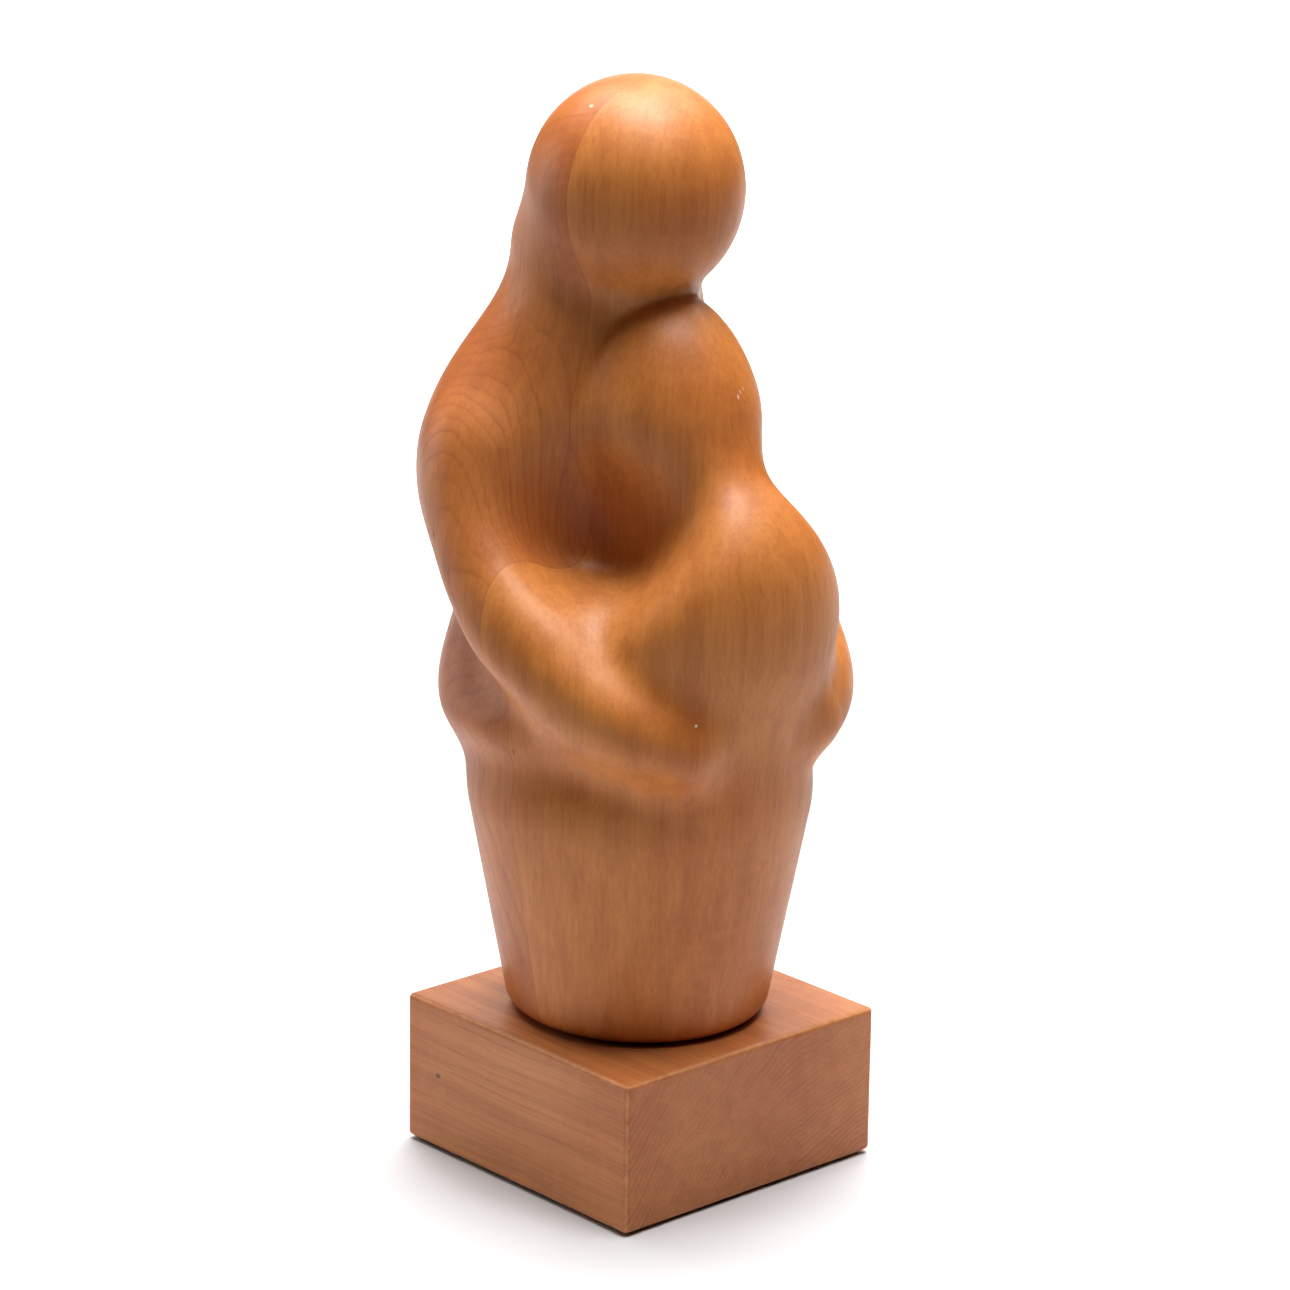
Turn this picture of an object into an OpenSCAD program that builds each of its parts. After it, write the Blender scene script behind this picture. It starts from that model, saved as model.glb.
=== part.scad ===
// Abstract mother-to-be: a smooth carved wooden figure on a square plinth.
// The figure is carved from two thick boards glued face to face, then screwed
// to the plinth from below.  Units are millimetres, +Z is up, the figure looks
// along -Y and the origin lies on the table, under the middle of the plinth.

/* [Plinth] */
// Side of the square plinth
plinth_side = 110; // [90:1:130]
// Height of the wooden plinth
plinth_height = 51; // [40:1:65]
// Rounding of every edge of the plinth
plinth_rounding = 1.8; // [0.5:0.1:4]

/* [Felt sheet] */
// Thickness of the felt sheet glued under the plinth
felt_thickness = 1; // [0.5:0.1:3]
// How far the sheet stays inside the plinth's sides
felt_inset = 2.5; // [1:0.5:8]
// Corner radius of the sheet
felt_corner = 2; // [0.5:0.5:6]

/* [Fixing screws] */
// Distance between the two screws, front to back
screw_spacing = 40; // [30:1:52]
// Diameter of the plain shank and of the thread's crests
screw_diameter = 5; // [4:0.5:6]
// Diameter of the core between the thread's crests
screw_core = 3.6; // [2.5:0.1:5]
// Length of a screw under its head
screw_length = 60; // [50:1:80]
// Length of the threaded end
screw_thread = 22; // [15:1:28]
// Distance between two crests of the thread
screw_pitch = 2.2; // [1.5:0.1:3]
// Diameter and height of a screw's round head
screw_head = [9.5, 3.6];
// Outer diameter, hole and thickness of a washer
washer_size = [15, 5.6, 1.4];
// Diameter and depth of the counterbore under the plinth
counterbore = [17, 14];
// Diameter of the clearance hole through the plinth
clearance_hole = 5.8; // [5.2:0.1:7]

/* [Figure: place and glue line] */
// How far the figure stands to its right of the plinth's middle
figure_shift = 1.7; // [0:0.1:3]
// Position of the glue line in front of (-) or behind (+) the foot's middle
glue_line = 0; // [-6:0.5:6]

/* [Figure: skirt and hips] */
// Radius of the skirt low down, at the foot
foot_radius = 44.0; // [38:0.1:50]
// Height above the foot where that radius is taken
foot_level = 11; // [5:1:20]
// Radius of the skirt high up, under the hips
hip_radius = 56.2; // [48:0.1:62]
// Height above the foot where that radius is taken
hip_level = 77; // [60:1:90]
// Depth of the skirt front to back, as a share of its width
skirt_depth = 1.04; // [0.9:0.01:1.2]
// Rounding under the foot
foot_rounding = 6; // [2:0.5:12]
// Height of the top of the hips
hip_top = 114.6; // [95:0.1:120]
// Rounding of the shoulder at the top of the hips
hip_rounding = 44; // [20:1:50]
// Centre of one hip's fullness: out, back, up
hip_centre = [24.4, 9.5, 104];
// Half-width, half-depth and half-height of that fullness
hip_size = [33, 43, 16.5];
// Centre of one buttock: out, back, up
buttock = [22, 35.3, 112.5];
// Radius of a buttock
buttock_radius = 24; // [20:0.5:34]

/* [Figure: back, chest and belly] */
// Centre of the back: out, back, up
back_centre = [0, 34.3, 181.3];
// Half-width, half-depth and half-height of the back
back_size = [56.8, 40.8, 54];
// Radius and backward offset of the waist
waist = [33, 20];
// Heights between which the waist keeps that radius
waist_levels = [109, 140];
// Centre of the chest
chest_centre = [0, -11.8, 197.3];
// Half-width, half-depth and half-height of the chest
chest_size = [30.1, 31.3, 47.2];
// Lean of the chest
chest_lean = -11.3; // [-20:0.1:20]
// Centre of the belly
belly_centre = [0, -40.7, 137.5];
// Half-width, half-depth and half-height of the belly
belly_size = [39.2, 30.1, 47.9];
// Lean of the belly
belly_lean = 12.3; // [-20:0.1:30]

/* [Figure: head and neck] */
// Centre of the head
head_centre = [0, 5.9, 273.9];
// Half-width, half-depth and half-height of the head
head_size = [34.7, 35.5, 36.5];
// Lean of the head
head_lean = 10.6; // [-10:0.1:30]
// Upper and lower end of the nape
nape_top = [0, 20.1, 252.1];
nape_foot = [0, 23, 214.6];
// Radius of the nape at its upper and lower end
nape_radius = [30.3, 28.5];
// Centre of the jaw, which fills the space above the chest
jaw_centre = [0, 8, 237];
// Radius of the jaw
jaw_radius = 20.7; // [18:0.1:28]

/* [Figure: arms] */
// Control points of the arm's curve: shoulder, elbow, forearm, finger tips
arm_curve = [[40.5, 29.8, 187.5], [58.9, 22.3, 144.7], [54.8, -37.5, 115.7], [30, -51, 106.5]];
// Radius of the arm at the same four points
arm_radius = [17.8, 17.8, 16.5, 6.5];
// Both ends of the fullness between forearm and belly
lap_from = [42, 2, 140];
lap_to = [22, -25, 136.5];
// Radius of that fullness
lap_radius = 17.5; // [14:0.5:26]
// Centre of the hollow carved out between chest, arm and belly
scoop_centre = [37, -22, 174.5];
// Half-width, half-depth and half-height of that hollow
scoop_size = [13, 18, 12];

/* [Figure: how softly the forms run together] */
// Under the chin, where a crease is left
chin_blend = 1.2; // [1:0.1:6]
// Where the chin's crease starts to close, front to back, and over what distance
chin_fade = [-8, 14];
// Behind the nape
nape_blend = 24; // [10:1:40]
// Between head, jaw and nape
neck_blend = 7; // [5:0.5:30]
// Between arms and body, and where the hands lie on the hips
arm_blend = 13; // [4:0.5:20]
hand_blend = 18; // [2:0.5:24]
// Between chest and belly
belly_blend = 21.5; // [8:0.5:30]
// Between buttocks and skirt, and between the hips' fullness and the skirt
hip_blend = 15; // [4:0.5:20]
side_blend = 10; // [3:0.5:15]
// Between the back and the rest of the trunk
body_blend = 18; // [8:1:30]
// Between trunk and hips
low_blend = 26; // [10:1:40]
// Round the rim of the carved hollow
scoop_blend = 30; // [4:1:40]

/* [Hidden] */

plinth_top = felt_thickness + plinth_height;
washer_level = felt_thickness + counterbore[1];
head_level = washer_level - washer_size[2];
screw_tip = head_level + screw_length;
pilot_depth = screw_tip + 1 - plinth_top;
screw_places = [[-figure_shift, -screw_spacing / 2], [-figure_shift, screw_spacing / 2]];
slack = 1;
$fn = 48;

// ---- the figure as one smooth skin --------------------------------------------
// Every form is given by its gap: how far a point lies outside it (below zero
// inside).  Gaps are run together softly, and the skin is where the gap is zero.

function soft_join(a, b, k) = let (h = max(k - abs(a - b), 0)) min(a, b) - h * h / (4 * k);
function clamp01(t) = max(0, min(1, t));
function ease(t) = let (c = clamp01(t)) c * c * (3 - 2 * c);

function egg_gap(p, centre, size) =
  let (
    q = [for (i = [0:2]) (p[i] - centre[i]) / size[i]],
    near = norm(q),
    slope = norm([for (i = [0:2]) q[i] / size[i]])
  )
  near * (near - 1) / max(slope, 1e-6);

function leaning(p, centre, angle) =
  let (y = p[1] - centre[1], z = p[2] - centre[2])
  [p[0], centre[1] + y * cos(angle) + z * sin(angle), centre[2] - y * sin(angle) + z * cos(angle)];

function limb_gap(p, a, b, radius_a, radius_b) =
  let (along = b - a, t = clamp01((p - a) * along / (along * along)))
  norm(p - a - along * t) - radius_a - (radius_b - radius_a) * t;

// two faces meeting in a rounded edge
function rounded_edge(a, b, r) =
  min(max(a, b), -r) + norm([max(a + r, 0), max(b + r, 0)]);

skirt_slope = (hip_radius - foot_radius) / (hip_level - foot_level);
function skirt_gap(p) =
  let (
    across = norm([p[0], p[1] / skirt_depth]),
    side = (across - foot_radius - skirt_slope * (p[2] - foot_level)) / norm([1, skirt_slope])
  )
  max(rounded_edge(side, -p[2], foot_rounding), rounded_edge(side, p[2] - hip_top, hip_rounding));

// The arm is a tube of changing thickness round a curve.  The nearest place on the
// curve is looked for piece by piece, then settled exactly.
arm_pieces = 8;
function on_curve(v, t) =
  let (s = 1 - t)
  s * s * s * v[0] + 3 * t * s * s * v[1] + 3 * t * t * s * v[2] + t * t * t * v[3];
function curve_run(v, t) =
  let (s = 1 - t) 3 * (s * s * (v[1] - v[0]) + 2 * s * t * (v[2] - v[1]) + t * t * (v[3] - v[2]));
function curve_bend(v, t) =
  6 * ((1 - t) * (v[2] - 2 * v[1] + v[0]) + t * (v[3] - 2 * v[2] + v[1]));
arm_points = [for (i = [0:arm_pieces]) on_curve(arm_curve, i / arm_pieces)];
function nearest_on_arm(p, i = 0, best = [1e9, 0]) =
  i == arm_pieces ? best[1] :
  let (
    along = arm_points[i + 1] - arm_points[i],
    from = p - arm_points[i],
    t = clamp01(from * along / (along * along)),
    away = norm(from - along * t)
  )
  nearest_on_arm(p, i + 1, away < best[0] ? [away, (i + t) / arm_pieces] : best);
function settled(p, t, left) =
  left == 0 ? t :
  let (off = p - on_curve(arm_curve, t), run = curve_run(arm_curve, t))
  settled(p, clamp01(t + off * run / max(run * run - off * curve_bend(arm_curve, t), 100)), left - 1);
function arm_gap(p) =
  let (t = settled(p, nearest_on_arm(p), 2))
  norm(p - on_curve(arm_curve, t)) - on_curve(arm_radius, t);

function hips_gap(p) =
  let (
    hip = egg_gap(p, hip_centre, hip_size),
    seat = norm(p - buttock) - buttock_radius
  )
  soft_join(soft_join(skirt_gap(p), hip, side_blend), seat, hip_blend);

function trunk_gap(p) =
  let (
    back = egg_gap(p, back_centre, back_size),
    middle = limb_gap(p, [0, waist[1], waist_levels[0]], [0, waist[1], waist_levels[1]], waist[0], waist[0]),
    chest = egg_gap(leaning(p, chest_centre, chest_lean), chest_centre, chest_size),
    belly = egg_gap(leaning(p, belly_centre, belly_lean), belly_centre, belly_size)
  )
  soft_join(soft_join(back, middle, body_blend), soft_join(chest, belly, belly_blend), body_blend);

function head_gap(p) =
  let (
    head = egg_gap(leaning(p, head_centre, head_lean), head_centre, head_size),
    nape = limb_gap(p, nape_top, nape_foot, nape_radius[0], nape_radius[1]),
    jaw = norm(p - jaw_centre) - jaw_radius
  )
  soft_join(soft_join(head, nape, neck_blend), jaw, neck_blend);

function figure_gap(p) =
  let (
    q = [abs(p[0]), p[1], p[2]],
    body = soft_join(trunk_gap(q), hips_gap(q), low_blend),
    lap = limb_gap(q, lap_from, lap_to, lap_radius, lap_radius),
    arm = soft_join(arm_gap(q), lap, arm_blend),
    held = hand_blend + (arm_blend - hand_blend) * ease((p[2] - 109) / 30),
    chin = chin_blend + (nape_blend - chin_blend) * ease((p[1] - chin_fade[0]) / chin_fade[1]),
    whole = soft_join(soft_join(body, arm, held), head_gap(q), chin)
  )
  -soft_join(-whole, egg_gap(q, scoop_centre, scoop_size), scoop_blend);

// The skin is found by walking inwards from outside until the gap closes.
reach = 96;
function walk(from, way, r, left) =
  let (g = figure_gap(from + way * r))
  left == 0 || abs(g) < 0.02 ? r - g : walk(from, way, r - 0.93 * g, left - 1);

// The walk starts from a line up through the middle of the figure.
function spine(z) = 16 * ease((z - 90) / 90) - 9 * ease((z - 225) / 40);

sides = 80;
foot_rings = [0.03, 0.8, 2.4, 5];
levels = concat(foot_rings, [for (z = [8:8:88]) z], [for (z = [92:2.5:head_centre[2] - 1]) z]);
dome_rings = 13;
dome = [for (i = [0:dome_rings - 1]) 90 * i / dome_rings];
crown = [0, spine(head_centre[2]), head_centre[2]];

function half_ring(from, lift) =
  [for (i = [0:sides / 2]) let (
      angle = 360 * i / sides,
      way = [sin(angle) * cos(lift), -cos(angle) * cos(lift), sin(lift)])
    from + way * walk(from, way, reach, 40)];
// the left half mirrors the right half
function whole_ring(half) =
  concat(half, [for (i = [sides / 2 - 1:-1:1]) [-half[i][0], half[i][1], half[i][2]]]);

module figure_skin() {
  rings = concat(
    [for (z = levels) whole_ring(half_ring([0, spine(z), z], 0))],
    [for (lift = dome) whole_ring(half_ring(crown, lift))]);
  count = len(rings);
  top = crown + [0, 0, walk(crown, [0, 0, 1], reach, 40)];
  points = [
    each [for (p = rings[0]) [p[0], p[1], 0]],
    for (k = [1:count - 1]) each rings[k],
    top];
  faces = [
    [for (i = [0:sides - 1]) i],
    for (k = [0:count - 2], i = [0:sides - 1]) let (j = (i + 1) % sides)
      each [[k * sides + i, (k + 1) * sides + j, k * sides + j],
            [k * sides + i, (k + 1) * sides + i, (k + 1) * sides + j]],
    for (i = [0:sides - 1])
      [(count - 1) * sides + i, count * sides, (count - 1) * sides + (i + 1) % sides]];
  polyhedron(points, faces, convexity = 6);
}

// ---- the two glued boards ---------------------------------------------------------

module board(front) {
  difference() {
    resize([0, 0, 0]) intersection() {
      translate([-figure_shift, 0, plinth_top]) figure_skin();
      translate([-150, front ? glue_line - 200 : glue_line, 0]) cube([300, 200, 500]);
    }
    pilot = screw_places[front ? 0 : 1];
    translate([pilot[0], pilot[1], plinth_top - slack])
      cylinder(h = pilot_depth + slack, d = screw_diameter);
  }
}

module figure_front_board() {
  color([0.80, 0.50, 0.24]) board(true);
}

module figure_back_board() {
  color([0.74, 0.42, 0.20]) board(false);
}

// ---- plinth --------------------------------------------------------------------------

module rounded_block(side, height, r) {
  // ball corners, rod edges and three crossing slabs: a block with every edge rounded
  reach_out = side / 2 - r;
  for (x = [-1, 1], y = [-1, 1]) {
    for (z = [r, height - r])
      translate([x * reach_out, y * reach_out, z]) sphere(r);
    translate([x * reach_out, y * reach_out, r]) cylinder(h = height - 2 * r, r = r);
  }
  for (s = [-1, 1], z = [r, height - r]) {
    translate([-reach_out, s * reach_out, z]) rotate([0, 90, 0]) cylinder(h = 2 * reach_out, r = r);
    translate([s * reach_out, reach_out, z]) rotate([90, 0, 0]) cylinder(h = 2 * reach_out, r = r);
  }
  translate([-side / 2, -reach_out, r]) cube([side, 2 * reach_out, height - 2 * r]);
  translate([-reach_out, -side / 2, r]) cube([2 * reach_out, side, height - 2 * r]);
  translate([-reach_out, -reach_out, 0]) cube([2 * reach_out, 2 * reach_out, height]);
}

module plinth_block() {
  color([0.66, 0.36, 0.19])
  difference() {
    translate([0, 0, felt_thickness]) rounded_block(plinth_side, plinth_height, plinth_rounding);
    for (p = screw_places) translate([p[0], p[1], felt_thickness]) {
      translate([0, 0, -slack]) cylinder(h = counterbore[1] + slack, d = counterbore[0]);
      cylinder(h = plinth_height + slack, d = clearance_hole);
    }
  }
}

// ---- hidden fixings ----------------------------------------------------------------

module one_screw() {
  crest = screw_diameter / 2;
  core = screw_core / 2;
  turns = floor((screw_thread - 5) / screw_pitch);
  thread_foot = screw_length - screw_thread;
  difference() {
    rotate_extrude() polygon(concat(
      [[0, -screw_head[1]], [screw_head[0] * 0.3, -screw_head[1]],
       [screw_head[0] * 0.45, -screw_head[1] * 0.7], [screw_head[0] / 2, -screw_head[1] * 0.3],
       [screw_head[0] / 2, 0], [crest, 0], [crest, thread_foot]],
      [for (i = [0:turns - 1]) each [
        [core, thread_foot + screw_pitch * (i + 0.35)],
        [core, thread_foot + screw_pitch * (i + 0.6)],
        [crest, thread_foot + screw_pitch * (i + 1)]]],
      [[core, thread_foot + screw_pitch * (turns + 0.35)], [core, screw_length - 4],
       [0, screw_length]]));
    translate([-screw_head[0], -0.7, -screw_head[1] - slack])
      cube([2 * screw_head[0], 1.4, 1.5 + slack]);
  }
}

module fixing_screw() {
  color([0.78, 0.66, 0.36])
  for (p = screw_places) translate([p[0], p[1], head_level]) one_screw();
}

module screw_washer() {
  color([0.72, 0.73, 0.75])
  for (p = screw_places) translate([p[0], p[1], head_level])
    difference() {
      cylinder(h = washer_size[2], d = washer_size[0]);
      translate([0, 0, -slack]) cylinder(h = washer_size[2] + 2 * slack, d = washer_size[1]);
    }
}

module felt_sheet() {
  side = plinth_side - 2 * felt_inset;
  corner = side / 2 - felt_corner;
  color([0.13, 0.12, 0.11]) {
    for (x = [-1, 1], y = [-1, 1])
      translate([x * corner, y * corner, 0]) cylinder(h = felt_thickness, r = felt_corner);
    translate([-side / 2, -corner, 0]) cube([side, 2 * corner, felt_thickness]);
    translate([-corner, -side / 2, 0]) cube([2 * corner, side, felt_thickness]);
  }
}

figure_front_board();
figure_back_board();
plinth_block();
fixing_screw();
screw_washer();
felt_sheet();
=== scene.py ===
import itertools
import math
from collections import namedtuple

import bmesh
import bpy
import numpy as np
from mathutils import Matrix, Vector


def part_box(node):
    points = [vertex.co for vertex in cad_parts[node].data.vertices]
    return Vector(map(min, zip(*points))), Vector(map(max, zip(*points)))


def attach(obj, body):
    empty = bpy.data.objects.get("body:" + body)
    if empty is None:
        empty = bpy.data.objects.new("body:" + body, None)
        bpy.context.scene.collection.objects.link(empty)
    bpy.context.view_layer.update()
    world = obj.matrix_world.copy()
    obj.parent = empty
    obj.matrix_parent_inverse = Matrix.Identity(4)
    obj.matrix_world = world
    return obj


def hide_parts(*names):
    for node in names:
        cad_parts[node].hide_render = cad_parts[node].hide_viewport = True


# An abstract mother-to-be carved from two glued boards, on a square plinth.
# The figure's skin is the zero level of one smooth field, written in millimetres
# above the foot; everything that reaches Blender is in metres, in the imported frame.

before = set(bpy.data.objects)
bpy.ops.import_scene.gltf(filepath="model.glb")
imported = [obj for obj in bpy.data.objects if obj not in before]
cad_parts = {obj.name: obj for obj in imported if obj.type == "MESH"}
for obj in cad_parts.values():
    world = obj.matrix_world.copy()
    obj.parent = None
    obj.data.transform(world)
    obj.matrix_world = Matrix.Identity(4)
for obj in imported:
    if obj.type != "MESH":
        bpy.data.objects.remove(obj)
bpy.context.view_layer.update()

MM = 0.001
X, Y, Z = 0, 1, 2

# ---- the figure's forms, in millimetres: out from the middle, back, up -----------------

FOOT_RADIUS, FOOT_LEVEL = 44.0, 11
HIP_RADIUS, HIP_LEVEL = 56.2, 77
SKIRT_DEPTH = 1.04
FOOT_ROUNDING = 6
HIP_TOP, HIP_ROUNDING = 114.6, 44
HIP_CENTRE = (24.4, 9.5, 104)
HIP_SIZE = (33, 43, 16.5)
BUTTOCK = (22, 35.3, 112.5)
BUTTOCK_RADIUS = 24.0
BACK_CENTRE = (0, 34.3, 181.3)
BACK_SIZE = (56.8, 40.8, 54)
WAIST_RADIUS = 33
WAIST_BACK = 20
WAIST_FROM, WAIST_TO = 109, 140
CHEST_CENTRE = (0, -11.8, 197.3)
CHEST_SIZE = (30.1, 31.3, 47.2)
CHEST_LEAN = -11.3
BELLY_CENTRE = (0, -40.7, 137.5)
BELLY_SIZE = (39.2, 30.1, 47.9)
BELLY_LEAN = 12.3
HEAD_CENTRE = (0, 5.9, 273.9)
HEAD_SIZE = (34.7, 35.5, 36.5)
HEAD_LEAN = 10.6
NAPE_TOP = (0, 20.1, 252.1)
NAPE_FOOT = (0, 23.0, 214.6)
NAPE_RADIUS = (30.3, 28.5)
JAW_CENTRE = (0, 8.0, 237.0)
JAW_RADIUS = 20.7
ARM_CURVE = ((40.5, 29.8, 187.5), (58.9, 22.3, 144.7), (54.8, -37.5, 115.7), (30, -51, 106.5))
ARM_RADIUS = (17.8, 17.8, 16.5, 6.5)
ARM_PIECES, ARM_TURNS, ARM_STEADY = 8, 2, 100
LAP_FROM, LAP_TO = (42, 2, 140), (22, -25, 136.5)
LAP_RADIUS = 17.5
SCOOP_CENTRE = (37, -22, 174.5)
SCOOP_SIZE = (13, 18, 12)

# how softly the forms run into one another
CHIN_BLEND = 1.2
NAPE_BLEND = 24
NECK_BLEND = 7
ARM_BLEND = 13
HAND_BLEND = 18
BELLY_BLEND = 21.5
BODY_BLEND = 18
LOW_BLEND = 26
SCOOP_BLEND = 30
HIP_BLEND = 15
SIDE_BLEND = 10

# where the sharp chin turns into the soft nape, going back, and the hand into the arm, going up
CHIN_FROM, CHIN_OVER = -8, 14
HAND_LEVEL, HAND_OVER = 109, 30

# ---- fineness of the figure's mesh, in millimetres -------------------------------------

GRID_STEP = 1.3
GRID_HALF_WIDTH, GRID_FRONT, GRID_BACK, GRID_HEIGHT = 74, 80, 84, 316
RELAX_TURNS, SKIN_TURNS, LAST_SKIN_TURNS = 3, 2, 4
SLOPE_STEP, LEAST_SLOPE = 0.01, 0.05
MERGE = 0.15

# ---- pilot holes for the two screws, in millimetres ------------------------------------

SCREW_SPACING = 40
PILOT_WIDTH, PILOT_DEPTH = 5, 22.6
PILOT_FACETS = 48

front_low, front_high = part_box("figure_front_board")
foot = Vector(((front_low.x + front_high.x) / 2, front_high.y, front_low.z))


def soft_join(a, b, blend):
    """The union of two forms, with a fillet that grows with blend."""
    near = np.maximum(blend - np.abs(a - b), 0)
    return np.minimum(a, b) - near * near / (4 * blend)


def ease(t):
    """Runs softly from 0 to 1 while t does."""
    c = np.clip(t, 0, 1)
    return c * c * (3 - 2 * c)


def length(*parts):
    return np.sqrt(sum(q * q for q in parts))


def egg_gap(p, centre, size):
    """About how far p lies outside an ellipsoid."""
    q = [(p[i] - centre[i]) / size[i] for i in range(3)]
    near = length(*q)
    slope = length(*[q[i] / size[i] for i in range(3)])
    return near * (near - 1) / np.maximum(slope, 1e-6)


def leaning(p, centre, degrees):
    """p as seen by a form that leans forwards round its centre."""
    c, s = math.cos(math.radians(degrees)), math.sin(math.radians(degrees))
    y, z = p[1] - centre[1], p[2] - centre[2]
    return p[0], centre[1] + y * c + z * s, centre[2] - y * s + z * c


def limb_gap(p, a, b, radius_a, radius_b):
    """How far p lies outside a round limb from a to b."""
    along = [b[i] - a[i] for i in range(3)]
    off = [p[i] - a[i] for i in range(3)]
    t = np.clip(sum(off[i] * along[i] for i in range(3)) / sum(d * d for d in along), 0, 1)
    away = length(*[off[i] - along[i] * t for i in range(3)])
    return away - radius_a - (radius_b - radius_a) * t


def ball_gap(p, centre, radius):
    return length(*[p[i] - centre[i] for i in range(3)]) - radius


def rounded_edge(a, b, r):
    """What two forms share, with the edge between them rounded."""
    return np.minimum(np.maximum(a, b), -r) + length(np.maximum(a + r, 0), np.maximum(b + r, 0))


def skirt_gap(p):
    """A cone that widens upwards, rounded at the foot and over the hips."""
    slope = (HIP_RADIUS - FOOT_RADIUS) / (HIP_LEVEL - FOOT_LEVEL)
    across = length(p[0], p[1] / SKIRT_DEPTH)
    side = (across - FOOT_RADIUS - slope * (p[2] - FOOT_LEVEL)) / math.hypot(1, slope)
    below = rounded_edge(side, -p[2], FOOT_ROUNDING)
    return np.maximum(below, rounded_edge(side, p[2] - HIP_TOP, HIP_ROUNDING))


def on_curve(v, t):
    """A cubic Bezier curve through v[0] and v[3], at t."""
    s = 1 - t
    return s * s * s * v[0] + 3 * t * s * s * v[1] + 3 * t * t * s * v[2] + t * t * t * v[3]


def curve_run(v, t):
    """The curve's first derivative."""
    s = 1 - t
    return 3 * (s * s * (v[1] - v[0]) + 2 * s * t * (v[2] - v[1]) + t * t * (v[3] - v[2]))


def curve_bend(v, t):
    """The curve's second derivative."""
    return 6 * ((1 - t) * (v[2] - 2 * v[1] + v[0]) + t * (v[3] - 2 * v[2] + v[1]))


def arm_gap(p):
    """A tube of changing thickness round a curve: the nearest piece first, then the exact place."""
    curve = np.array(ARM_CURVE, float).T
    knots = [[on_curve(v, i / ARM_PIECES) for v in curve] for i in range(ARM_PIECES + 1)]
    best, at = np.full(p[0].shape, np.inf), np.zeros(p[0].shape)
    for i in range(ARM_PIECES):
        along = [knots[i + 1][j] - knots[i][j] for j in range(3)]
        off = [p[j] - knots[i][j] for j in range(3)]
        t = np.clip(sum(off[j] * along[j] for j in range(3)) / sum(d * d for d in along), 0, 1)
        away = length(*[off[j] - along[j] * t for j in range(3)])
        nearer = away < best
        best = np.where(nearer, away, best)
        at = np.where(nearer, (i + t) / ARM_PIECES, at)
    for _ in range(ARM_TURNS):
        off = [p[j] - on_curve(curve[j], at) for j in range(3)]
        run = [curve_run(curve[j], at) for j in range(3)]
        bend = [curve_bend(curve[j], at) for j in range(3)]
        down = sum(run[j] ** 2 - off[j] * bend[j] for j in range(3))
        ahead = sum(off[j] * run[j] for j in range(3)) / np.maximum(down, ARM_STEADY)
        at = np.clip(at + ahead, 0, 1)
    return length(*[p[j] - on_curve(curve[j], at) for j in range(3)]) - on_curve(ARM_RADIUS, at)


def hips_gap(p):
    hip = egg_gap(p, HIP_CENTRE, HIP_SIZE)
    seat = ball_gap(p, BUTTOCK, BUTTOCK_RADIUS)
    return soft_join(soft_join(skirt_gap(p), hip, SIDE_BLEND), seat, HIP_BLEND)


def trunk_gap(p):
    back = egg_gap(p, BACK_CENTRE, BACK_SIZE)
    waist_foot, waist_top = (0, WAIST_BACK, WAIST_FROM), (0, WAIST_BACK, WAIST_TO)
    waist = limb_gap(p, waist_foot, waist_top, WAIST_RADIUS, WAIST_RADIUS)
    chest = egg_gap(leaning(p, CHEST_CENTRE, CHEST_LEAN), CHEST_CENTRE, CHEST_SIZE)
    belly = egg_gap(leaning(p, BELLY_CENTRE, BELLY_LEAN), BELLY_CENTRE, BELLY_SIZE)
    front = soft_join(chest, belly, BELLY_BLEND)
    return soft_join(soft_join(back, waist, BODY_BLEND), front, BODY_BLEND)


def head_gap(p):
    head = egg_gap(leaning(p, HEAD_CENTRE, HEAD_LEAN), HEAD_CENTRE, HEAD_SIZE)
    nape = limb_gap(p, NAPE_TOP, NAPE_FOOT, *NAPE_RADIUS)
    jaw = ball_gap(p, JAW_CENTRE, JAW_RADIUS)
    return soft_join(soft_join(head, nape, NECK_BLEND), jaw, NECK_BLEND)


def figure_gap(x, y, z):
    """How far points lie outside the figure, below zero inside."""
    p = (np.abs(x), y, z)
    body = soft_join(trunk_gap(p), hips_gap(p), LOW_BLEND)
    arm = soft_join(arm_gap(p), limb_gap(p, LAP_FROM, LAP_TO, LAP_RADIUS, LAP_RADIUS), ARM_BLEND)
    held = HAND_BLEND + (ARM_BLEND - HAND_BLEND) * ease((z - HAND_LEVEL) / HAND_OVER)
    chin = CHIN_BLEND + (NAPE_BLEND - CHIN_BLEND) * ease((y - CHIN_FROM) / CHIN_OVER)
    whole = soft_join(soft_join(body, arm, held), head_gap(p), chin)
    return -soft_join(-whole, egg_gap(p, SCOOP_CENTRE, SCOOP_SIZE), SCOOP_BLEND)


# ---- from the field to clean quad meshes ------------------------------------------------


def cut(array, axis, start, stop):
    """array without its first `start` and last `stop` layers along one axis."""
    index = [slice(None)] * array.ndim
    index[axis] = slice(start, array.shape[axis] - stop)
    return array[tuple(index)]


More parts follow.
